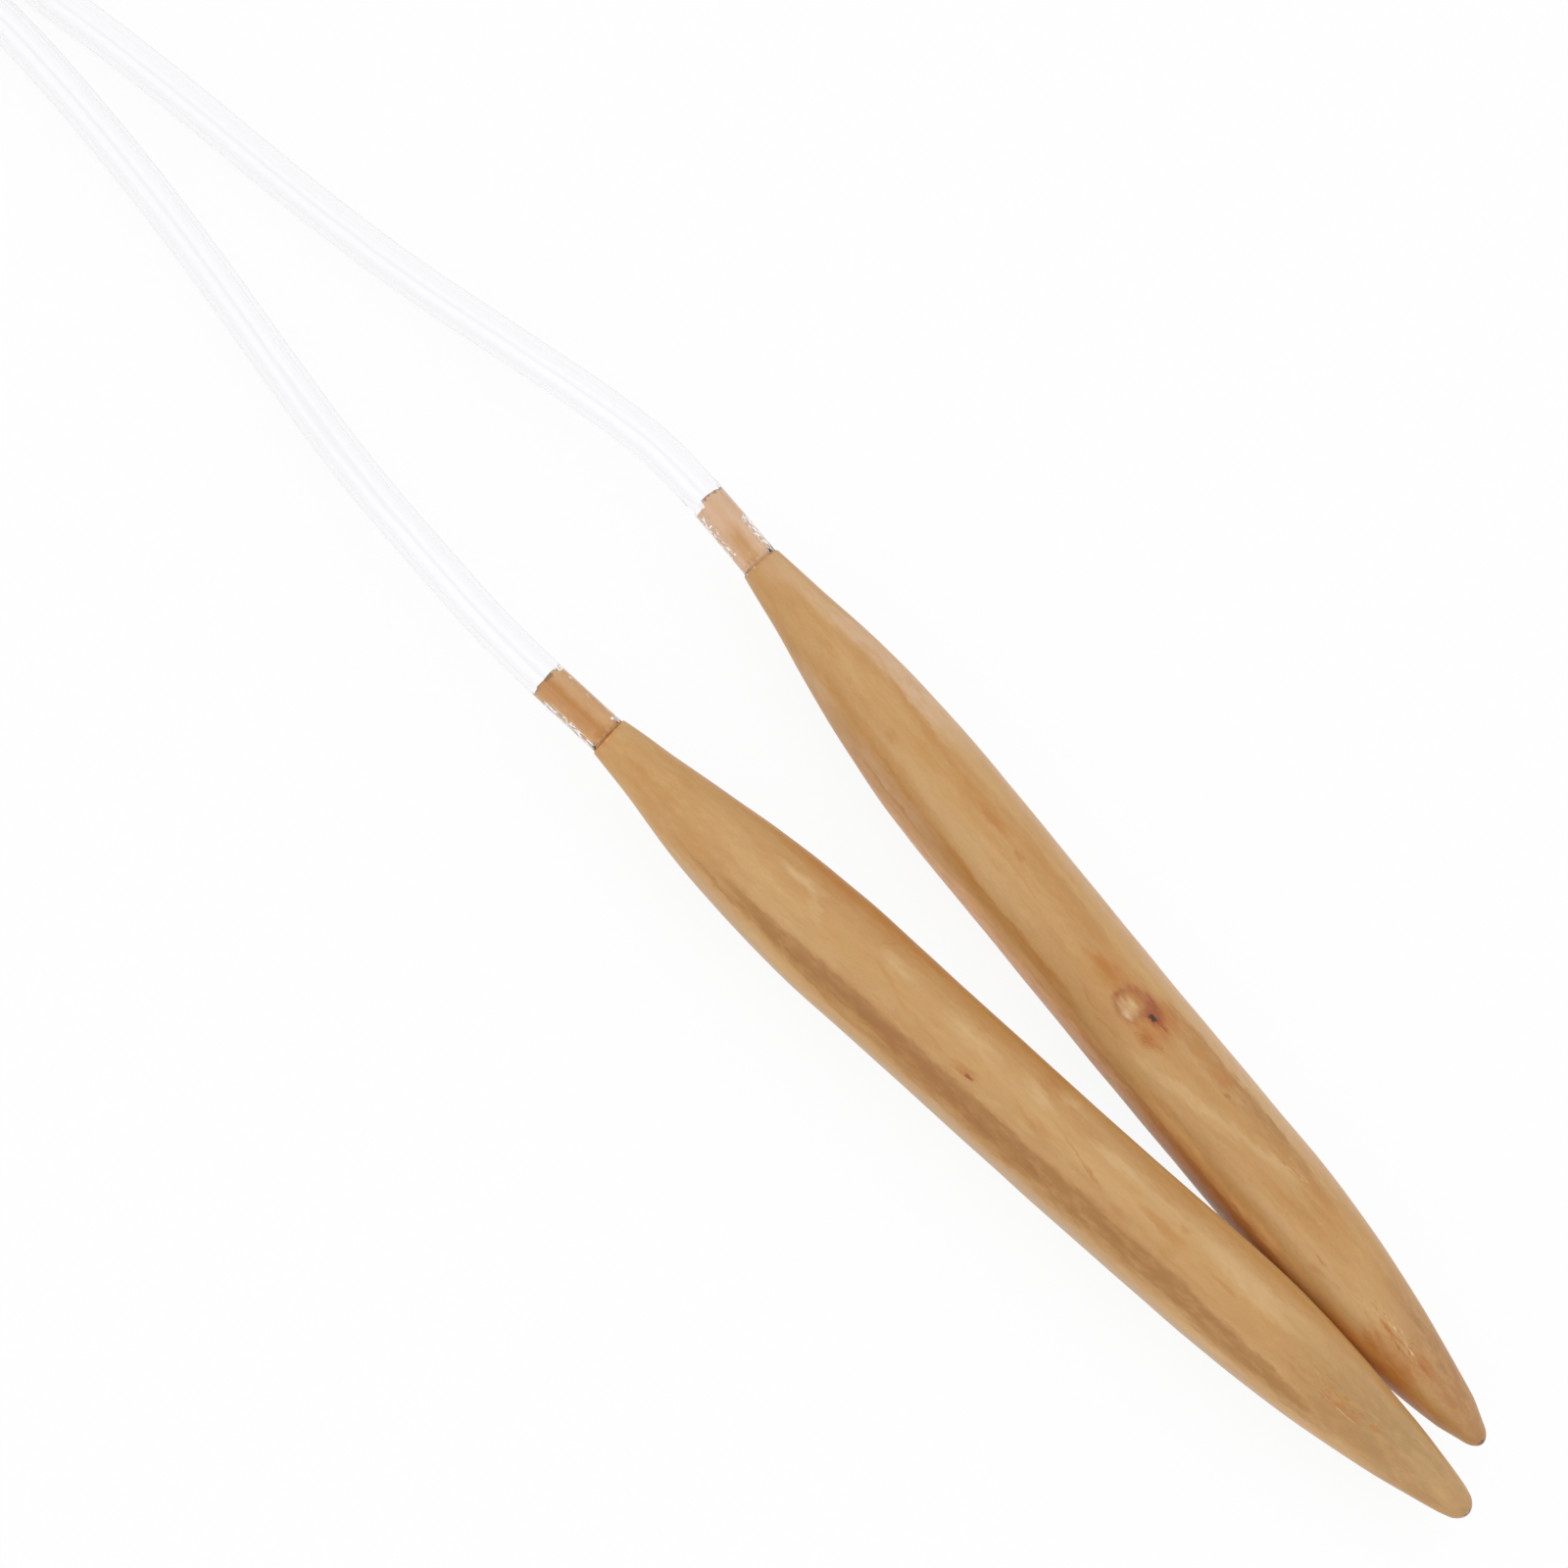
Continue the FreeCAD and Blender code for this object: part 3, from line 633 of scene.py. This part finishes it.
    tree.links.new(colour, shader.inputs["Base Color"])
    shader.inputs["Specular IOR Level"].default_value = 0.5
    rough = ramp(tree, figure["Height"], 0.2, 0.8, 0.46, 0.36)
    tree.links.new(rough, shader.inputs["Roughness"])
    bump = add_node(tree, "Bump", [("Height", figure["Height"]), ("Strength", 0.10), ("Distance", 0.0001)])
    tree.links.new(bump.outputs[0], shader.inputs["Normal"])
    return material


def clear_material(name, colour, rough, ior):
    """Clear soft plastic. Lamps shine through it on what is behind."""
    material = bpy.data.materials.new(name)
    material.use_nodes = True
    tree = material.node_tree
    shader = tree.nodes["Principled BSDF"]
    fill_sockets(tree, shader, [("Base Color", colour), ("Roughness", rough),
                                ("Transmission Weight", 1.0), ("IOR", ior)])
    shadow = add_node(tree, "LightPath").outputs["Is Shadow Ray"]
    through = add_node(tree, "BsdfTransparent").outputs[0]
    mix = add_node(tree, "MixShader", [(0, shadow), (1, shader.outputs[0]), (2, through)])
    tree.links.new(mix.outputs[0], tree.nodes["Material Output"].inputs["Surface"])
    return material


wood = {side: wood_material(side) for side in SIDES}
clear_tube = clear_material("clear_tube", (0.966, 0.966, 0.978, 1), 0.0, 1.5)


def glue_material():
    """Set glue: off-white, slightly clouded."""
    material = bpy.data.materials.new("set_glue")
    material.use_nodes = True
    tree = material.node_tree
    shader = tree.nodes["Principled BSDF"]
    spot = add_node(tree, "TexCoord").outputs["Object"]
    cloud = speckle(tree, stretch(tree, spot, (0.4 * MM, 0.4 * MM, 0.4 * MM)), 2.0, 0.6)
    colour = blend_colour(tree, ramp(tree, cloud, 0.35, 0.65), GLUE_WHITE, GLUE_CREAM)
    tree.links.new(colour, shader.inputs["Base Color"])
    shader.inputs["Roughness"].default_value = 0.25
    return material


set_glue = glue_material()


# ---------------------------------------------------------------- the needles
def extend_line(bm, last, by, cuts=0):
    """Grow the outline from its last vertex in a straight run of equal steps."""
    for _ in range(cuts + 1):
        made = bmesh.ops.extrude_vert_indiv(bm, verts=[last])["verts"][0]
        bmesh.ops.translate(bm, verts=[made], vec=Vector(by) / (cuts + 1))
        last = made
    return last


def extend_arc(bm, last, centre, end, steps):
    """Grow the outline from its last vertex along an arc to the direction of end."""
    first = last.co - Vector(centre)
    angle = Vector((end[0] - centre[0], end[1] - centre[1])).angle_signed(Vector((first.x, first.y)))
    made = bmesh.ops.spin(bm, geom=[last], cent=Vector(centre), axis=Vector((0, 0, 1)), angle=angle,
                          steps=steps, use_duplicate=False)
    return next(g for g in made["geom_last"] if isinstance(g, bmesh.types.BMVert))


def needle_mesh(side):
    """One needle, spun from half of its outline, with the slight waviness of hand sanding."""
    barrel, spigot = BARREL_RADIUS, SPIGOT_RADIUS
    slope = (barrel - TUBE_RADIUS) / (CONE_RUN + (NECK_LENGTH - CONE_RUN) / 2)
    neck_arc = (NECK_LENGTH - CONE_RUN) / math.sin(math.atan(slope))
    run = OGIVE_LENGTH - NOSE_RADIUS
    arc = (run**2 + barrel**2 - NOSE_RADIUS**2) / (2 * (barrel - NOSE_RADIUS))
    barrel_end = BODY_LENGTH - OGIVE_LENGTH
    ogive_centre = Vector((barrel_end, barrel - arc, 0))
    nose_centre = Vector((BODY_LENGTH - NOSE_RADIUS, 0, 0))
    ogive_end = ogive_centre + (nose_centre - ogive_centre).normalized() * arc

    spigot_end = -SPIGOT_LENGTHS[side]
    bm = bmesh.new()
    last = bmesh.ops.create_vert(bm, co=(spigot_end, 0, 0))["vert"][0]
    last = extend_line(bm, last, (0, spigot - SPIGOT_ROUND, 0), 5)
    last = extend_arc(bm, last, (spigot_end + SPIGOT_ROUND, spigot - SPIGOT_ROUND, 0),
                      (spigot_end + SPIGOT_ROUND, 1, 0), 4)
    last = extend_line(bm, last, (-spigot_end - SPIGOT_ROUND - SEAT, 0, 0), 44)
    last = extend_line(bm, last, (SEAT - 0.01 * MM, TUBE_RADIUS - spigot, 0), 4)
    last = extend_line(bm, last, (0.05 * MM, 0.01 * MM, 0))
    cone_end = Vector((CONE_RUN, TUBE_RADIUS + CONE_RUN * slope, 0))
    last = extend_line(bm, last, cone_end - last.co, 16)
    last = extend_arc(bm, last, (NECK_LENGTH, barrel - neck_arc, 0), (NECK_LENGTH, 1, 0), 36)
    last = extend_line(bm, last, (barrel_end - NECK_LENGTH, 0, 0), 70)
    last = extend_arc(bm, last, ogive_centre, ogive_end, 56)
    last = extend_arc(bm, last, nose_centre, nose_centre + Vector((1, 0, 0)), 12)
    last.co.y = 0
    bmesh.ops.spin(bm, geom=bm.verts[:] + bm.edges[:], cent=(0, 0, 0), axis=(1, 0, 0), angle=2 * math.pi,
                   steps=128, use_merge=True)
    bmesh.ops.remove_doubles(bm, verts=bm.verts, dist=0.002 * MM)
    bmesh.ops.recalc_face_normals(bm, faces=bm.faces)
    bm.normal_update()
    hand_finish(bm, side)
    bmesh.ops.transform(bm, matrix=needle_place(side), verts=bm.verts)
    return mesh_from(bm, NAMES[side] + "_needle_wood")


def smooth_step(value, low, high):
    """A smooth rise from 0 at the low limit to 1 at the high one."""
    share = min(1.0, max(0.0, (value - low) / (high - low)))
    return share * share * (3 - 2 * share)


def hand_finish(bm, side):
    """Give a turned needle the slight waviness, bow, sharper point and rough spigot end of handwork."""
    thinning, reach = THINNING[side]
    for vert in bm.verts:
        along = vert.co.x / MM
        # the waviness and facets of sanding, which fade out at the shoulder and the point
        if along > -0.1:
            turn = vert.co / (14 * MM)
            swell = noise.noise(Vector((along / 30, side * 3.0, 0)) + turn) * WAVINESS
            cell = 4 * MM
            spot = Vector((along / 7, vert.co.y / cell, vert.co.z / cell + 9 * side))
            facets = noise.noise(spot) * FACETING
            ease = smooth_step(along, 0, 8) * (1 - 0.8 * smooth_step(along, 190, 200))
            vert.co += vert.normal * (swell + facets) * ease * MM
        # the nose is sharper than the turned one
        to_point = BODY_LENGTH / MM - along
        if to_point < reach:
            share = 1 - thinning * max(0.0, 1 - max(0.0, to_point) / reach) ** 1.3
            vert.co.y *= share
            vert.co.z *= share
        # the wood stands proud of the tube, and the barrel is slimmer
        if along > 0.02:
            girth = LIP * (1 - smooth_step(along, 0, 12)) - SLIMMING[side] * smooth_step(along, 50, 75)
            vert.co += Vector((0, vert.co.y, vert.co.z)).normalized() * girth * smooth_step(to_point, 0, 30)
        # the needle's bow, and the longer front point that leans to one side
        if side == FRONT:
            vert.co.y -= BOW[side] * smooth_step(along, 0, 25) * (1 - smooth_step(along, 102, 165))
            vert.co.y += POINT_SHIFT * smooth_step(along, 175, 198)
            vert.co.x += POINT_GROWTH * smooth_step(along, 165, 200)
        else:
            back = 1 - 0.6 * smooth_step(along, 100, 160) - 0.4 * smooth_step(along, 180, 200)
            vert.co.y -= BOW[side] * smooth_step(along, 12, 58) * back
        # the lower part of the rear spigot ends early
        if side == REAR and along < -REAR_STEP / MM + 0.3 and (SEEN_SIDE @ vert.co).y < REAR_STEP_BELOW:
            vert.co.x = max(vert.co.x, -REAR_STEP)
            along = vert.co.x / MM
        # the roughly sawn end of the spigot
        if along < -CHEWED_FROM:
            chew = noise.noise(vert.co / (0.8 * MM) + Vector((side * 5.0, 0, 0)))
            vert.co.x += chew * CHEWED_END * smooth_step(-along, CHEWED_FROM, 14.0)


for side in SIDES:
    needle = add_object(NAMES[side] + "_needle_wood", needle_mesh(side), wood[side])
    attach(needle, NAMES[side] + "_needle")
    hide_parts(NAMES[side] + "_needle")


# ---------------------------------------------------------------- the tube's middle line
def tube_route():
    """Corners of the tube's route, from the front needle's shoulder to the rear needle's."""
    def strand(side, corners):
        place = needle_place(side)
        ends = [place @ Vector((0, 0, 0)), place @ Vector((-STRAIGHT_START, 0, 0))]
        free = [Vector((SHOULDERS_X + x * MM, y * MM, TUBE_RADIUS + hang * MM)) for x, y, hang in corners]
        return ends + free
    first, last = LOOP_ANGLES
    step = (last - first) / (LOOP_CORNERS - 1)
    reach = LOOP_RADIUS / math.cos(step / 2)
    loop = []
    for number in range(LOOP_CORNERS):
        angle = first + step * number
        loop.append(LOOP_MIDDLE + reach * Vector((math.cos(angle), math.sin(angle), 0)))
    return strand(FRONT, FRONT_ROUTE) + loop + strand(REAR, REAR_ROUTE)[::-1]


def middle_line(route):
    """Points read from one smooth NURBS curve whose control points are the route's corners."""
    curve = bpy.data.curves.new("tube_line", "CURVE")
    curve.dimensions = "3D"
    curve.resolution_u = 16
    spline = curve.splines.new("NURBS")
    spline.points.add(len(route) - 1)
    for point, corner in zip(spline.points, route):
        point.co = (*corner, 1)
    spline.order_u = 3
    spline.use_endpoint_u = True
    thing = bpy.data.objects.new("tube_line", curve)
    bpy.context.scene.collection.objects.link(thing)
    bpy.context.view_layer.update()
    mesh = bpy.data.meshes.new_from_object(thing)
    points = [v.co.copy() for v in mesh.vertices]
    bpy.data.objects.remove(thing)
    bpy.data.curves.remove(curve)
    bpy.data.meshes.remove(mesh)
    return points


def ring_frames(points):
    """One frame per point of a line: its Z along the line, turned as little as it can from the last."""
    frames = []
    side = Vector((0, 0, 1))
    for number, point in enumerate(points):
        back = points[max(number - 1, 0)]
        ahead = points[min(number + 1, len(points) - 1)]
        along = (ahead - back).normalized()
        side = (side - along * side.dot(along)).normalized()
        across = along.cross(side)
        turn = Matrix((side, across, along)).transposed().to_4x4()
        frames.append(Matrix.Translation(point) @ turn)
    return frames


line = middle_line(tube_route())
frames = ring_frames(line)
run = [0.0]
for here, there in zip(line, line[1:]):
    run.append(run[-1] + (there - here).length)

# ---------------------------------------------------------------- the tube's mesh
TUBE_SIDES = 128
NECK_X = -254 * MM  # where the end stretches meet the loop's
SPIGOT_CUTS = 5  # the rings over a spigot are this much closer, for the air pockets
SPIGOT_REACH = 16 * MM
POCKET_FROM = 1.95  # air shows only at the sides of the spigot, this far off its middle
WETTED_BORE = 2.29 * MM  # radius of the bore where glue wets the wood, just inside the wood
POCKET_BORE = 2.47 * MM  # and at an air pocket
# Where air shows on the outer and the inner side of each spigot: from and to, in millimetres back
# from the shoulder, and the level that the noise has to pass there. Elsewhere the glue is nearly whole.
OUTER_POCKETS = {FRONT: [(-1, 12, -0.15)], REAR: [(-1, 9, -0.15)]}
INNER_POCKETS = {FRONT: [(-1, 2.0, -0.1), (13.5, 16, -0.1)], REAR: [(4, 13, 0.15)]}
NEARLY_WHOLE = 0.75


def grow_skin(bm, radius, first, last, outwards):
    """One skin of the tube, grown ring by ring along the middle line. Returns its rings."""
    ring = bmesh.ops.create_circle(bm, cap_ends=False, segments=TUBE_SIDES, radius=radius,
                                   matrix=frames[first])["verts"]
    rings = [ring]
    edges = list({e for v in ring for e in v.link_edges})
    faces = []
    for number in range(first + 1, last + 1):
        grown = bmesh.ops.extrude_edge_only(bm, edges=edges)["geom"]
        ring = [g for g in grown if isinstance(g, bmesh.types.BMVert)]
        fresh = set(ring)
        edges = [g for g in grown if isinstance(g, bmesh.types.BMEdge) and fresh.issuperset(g.verts)]
        faces += [g for g in grown if isinstance(g, bmesh.types.BMFace)]
        bmesh.ops.transform(bm, matrix=frames[number] @ frames[number - 1].inverted(), verts=ring)
        rings.append(ring)
    bmesh.ops.recalc_face_normals(bm, faces=faces)
    off_axis = faces[0].calc_center_median() - line[first]
    if (faces[0].normal.dot(off_axis) > 0) != outwards:
        bmesh.ops.reverse_faces(bm, faces=faces)
    return rings


def air_pocket(side, along, across, up):
    """True where the glue missed the wood, and air shows between the spigot and the tube."""
    if abs(across) < POCKET_FROM:
        return False
    value = noise.noise(Vector((along / 0.7, across / 0.5, up / 0.5 + 7 * side)))
    value += 0.7 * noise.noise(Vector((along / 0.3, across / 0.25, up / 0.25 + 3 * side)))
    pockets = (OUTER_POCKETS if across * side > 0 else INNER_POCKETS)[side]
    return value > next((level for start, end, level in pockets if start < along < end), NEARLY_WHOLE)


def fit_spigot_bore(bm, side, rings):
    """Press the bore on to the spigot: on the wood where the glue wets it, clear of it at the air pockets."""
    place = needle_place(side)
    back = place.inverted()
    near = [ring for ring in rings if (back @ ring[0].co).x > -SPIGOT_REACH]
    lengthwise = []
    for ring, following in zip(near, near[1:]):
        ahead = set(following)
        lengthwise += [e for v in ring for e in v.link_edges if e.other_vert(v) in ahead]
    bmesh.ops.subdivide_edges(bm, edges=lengthwise, cuts=SPIGOT_CUTS, use_grid_fill=True)
    mid_wall = (BORE_RADIUS + TUBE_RADIUS) / 2
    for vert in bm.verts:
        own = back @ vert.co
        if own.x < -SPIGOT_LENGTHS[side] + 0.2 * MM or own.yz.length > mid_wall:
            continue
        radial = Vector((0, own.y, own.z)).normalized()
        seen = SEEN_SIDE @ radial * (SPIGOT_RADIUS / MM)
        free = air_pocket(side, -own.x / MM, seen.y, seen.z)
        vert.co = place @ (Vector((own.x, 0, 0)) + radial * (POCKET_BORE if free else WETTED_BORE))


def tube_shell(name, first, last, side=None):
    """One stretch of the tube: its outer skin and its bore, open where it meets the next stretch."""
    bm = bmesh.new()
    outer = grow_skin(bm, TUBE_RADIUS, first, last, True)
    inner = grow_skin(bm, BORE_RADIUS, first, last, False)
    if side is not None:
        end = 0 if side == FRONT else -1
        ends = set(outer[end]) | set(inner[end])
        rim = [e for e in bm.edges if e.is_boundary and ends.issuperset(e.verts)]
        closed = bmesh.ops.bridge_loops(bm, edges=rim)["faces"]
        towards_needle = needle_place(side).to_3x3() @ Vector((1, 0, 0))
        bm.normal_update()
        wrong = [f for f in closed if f.normal.dot(towards_needle) < 0]
        bmesh.ops.reverse_faces(bm, faces=wrong)
        fit_spigot_bore(bm, side, inner if side == FRONT else inner[::-1])
    return add_object(name, mesh_from(bm, name), clear_tube)


def nearest(x, side):
    """Number of the line's point on one strand that is nearest to x."""
    half = [i for i in range(len(line))
            if (run[i] < run[-1] / 2) == (side == FRONT) and line[i].x > -300 * MM]
    return min(half, key=lambda i: abs(line[i].x - x))


front_neck = nearest(NECK_X, FRONT)
rear_neck = nearest(NECK_X, REAR)
apex = min(range(len(line)), key=lambda i: line[i].x)

front_end_tube = tube_shell("front_end_tube", 0, front_neck, FRONT)
front_loop_tube = tube_shell("front_loop_tube", front_neck, apex)
rear_loop_tube = tube_shell("rear_loop_tube", apex, rear_neck)
rear_end_tube = tube_shell("rear_end_tube", rear_neck, len(line) - 1, REAR)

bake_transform(front_end_tube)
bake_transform(front_loop_tube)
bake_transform(rear_loop_tube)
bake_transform(rear_end_tube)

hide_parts("front_tube_end", "front_tube_run")
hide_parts("tube_loop")
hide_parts("tube_loop")
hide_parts("rear_tube_end", "rear_tube_run")


def say_cord(first, last, exit_at):
    """The path of one stretch, read from the end nearer to its needle. The path is not used."""
    path = line[first:last + 1]
    if exit_at != first:
        path = path[::-1]


say_cord(0, front_neck, 0)
say_cord(front_neck, apex, front_neck)
say_cord(apex, rear_neck, rear_neck)
say_cord(rear_neck, len(line) - 1, len(line) - 1)


# ---------------------------------------------------------------- glue between the spigots and the tube
GLUE_CRUMBS = 260
GLUE_SEED = 7
GLUE_RUN = (0.4, 13.0)  # where the crumbs lie, in millimetres back from the shoulder
CRUMB_RADII = (0.03, 0.08)  # in millimetres
CRUMB_STRETCH = 1.6
BARE_BELOW = 0.12  # no crumbs where the noise is lower, so that they lie in clusters


def glue_mesh(side):
    """Thin crumbs of set glue along the spigot, in clusters."""
    bm = bmesh.new()
    place = needle_place(side)
    start, end = GLUE_RUN
    small, large = CRUMB_RADII
    for _ in range(GLUE_CRUMBS):
        spot = noise.random_unit_vector()
        roll = noise.random_vector()
        along = (roll.x * 0.5 + 0.5) * (end - start) + start
        radial = Vector((0, spot.y, spot.z)).normalized()
        if noise.noise(Vector((along / 2.0, radial.y * 2, radial.z * 2 + side))) < BARE_BELOW:
            continue
        size = (small + (large - small) * abs(roll.y)) * MM
        matrix = (place @ Matrix.Translation(Vector((-along * MM, 0, 0)) + radial * SPIGOT_RADIUS)
                  @ Matrix.Diagonal((CRUMB_STRETCH, 1, 1, 1)))
        bmesh.ops.create_icosphere(bm, subdivisions=1, radius=size, matrix=matrix)
    return mesh_from(bm, NAMES[side] + "_glue")


noise.seed_set(GLUE_SEED)
for side in SIDES:
    glue = add_object(NAMES[side] + "_glue", glue_mesh(side), set_glue)
    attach(glue, NAMES[side] + "_needle")
    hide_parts(NAMES[side] + "_cement")


# ---------------------------------------------------------------- stage
PAPER = 0.94
PAPER_GLOW = 0.92  # share of plain white in the paper where it is seen
SKY = 0.84


def seen_directly(tree):
    """1 for rays that show the backdrop itself: from the camera, a reflection or through the tube."""
    path = add_node(tree, "LightPath").outputs
    either = maths(tree, "MAXIMUM", path["Is Camera Ray"], path["Is Glossy Ray"])
    return maths(tree, "MAXIMUM", either, path["Is Transmission Ray"])


def white_floor():
    """A sheet of white paper that keeps the soft shadow of the object."""
    material = bpy.data.materials.new("floor")
    material.use_nodes = True
    tree = material.node_tree
    tree.nodes.clear()
    paper = add_node(tree, "BsdfDiffuse", [("Color", (PAPER, PAPER, PAPER, 1))]).outputs[0]
    glow = add_node(tree, "Emission", [("Color", (1, 1, 1, 1)), ("Strength", 1.0)]).outputs[0]
    share = maths(tree, "MULTIPLY", seen_directly(tree), PAPER_GLOW)
    mix = add_node(tree, "MixShader", [(0, share), (1, paper), (2, glow)]).outputs[0]
    add_node(tree, "OutputMaterial", [("Surface", mix)])
    bm = bmesh.new()
    bmesh.ops.create_grid(bm, x_segments=1, y_segments=1, size=4.0)
    floor = add_object("floor", mesh_from(bm, "floor"), material, smooth=False)


def white_world(strength):
    """An even white sky: plain white where it is seen, and of this strength as a light."""
    world = bpy.data.worlds.new("studio")
    bpy.context.scene.world = world
    world.use_nodes = True
    tree = world.node_tree
    shade = tree.nodes["Background"]
    shade.inputs["Color"].default_value = (1, 1, 1, 1)
    level = add_node(tree, "MapRange", [(0, seen_directly(tree)), (3, strength), (4, 1.0)]).outputs[0]
    tree.links.new(level, shade.inputs["Strength"])


def soft_lamp(name, position, size, power):
    """A square lamp that faces the origin."""
    data = bpy.data.lights.new(name, "AREA")
    data.shape = "SQUARE"
    data.size = size
    data.energy = power
    lamp = bpy.data.objects.new(name, data)
    bpy.context.scene.collection.objects.link(lamp)
    lamp.location = position
    lamp.rotation_euler = (-Vector(position)).to_track_quat("-Z", "Y").to_euler()


white_floor()
white_world(SKY)
soft_lamp("key", (-0.5, 1.0, 2.2), 3.0, 8.2)
soft_lamp("fill", (-0.2, -2.2, 0.9), 2.5, 12)

bpy.context.scene.view_settings.view_transform = "Standard"
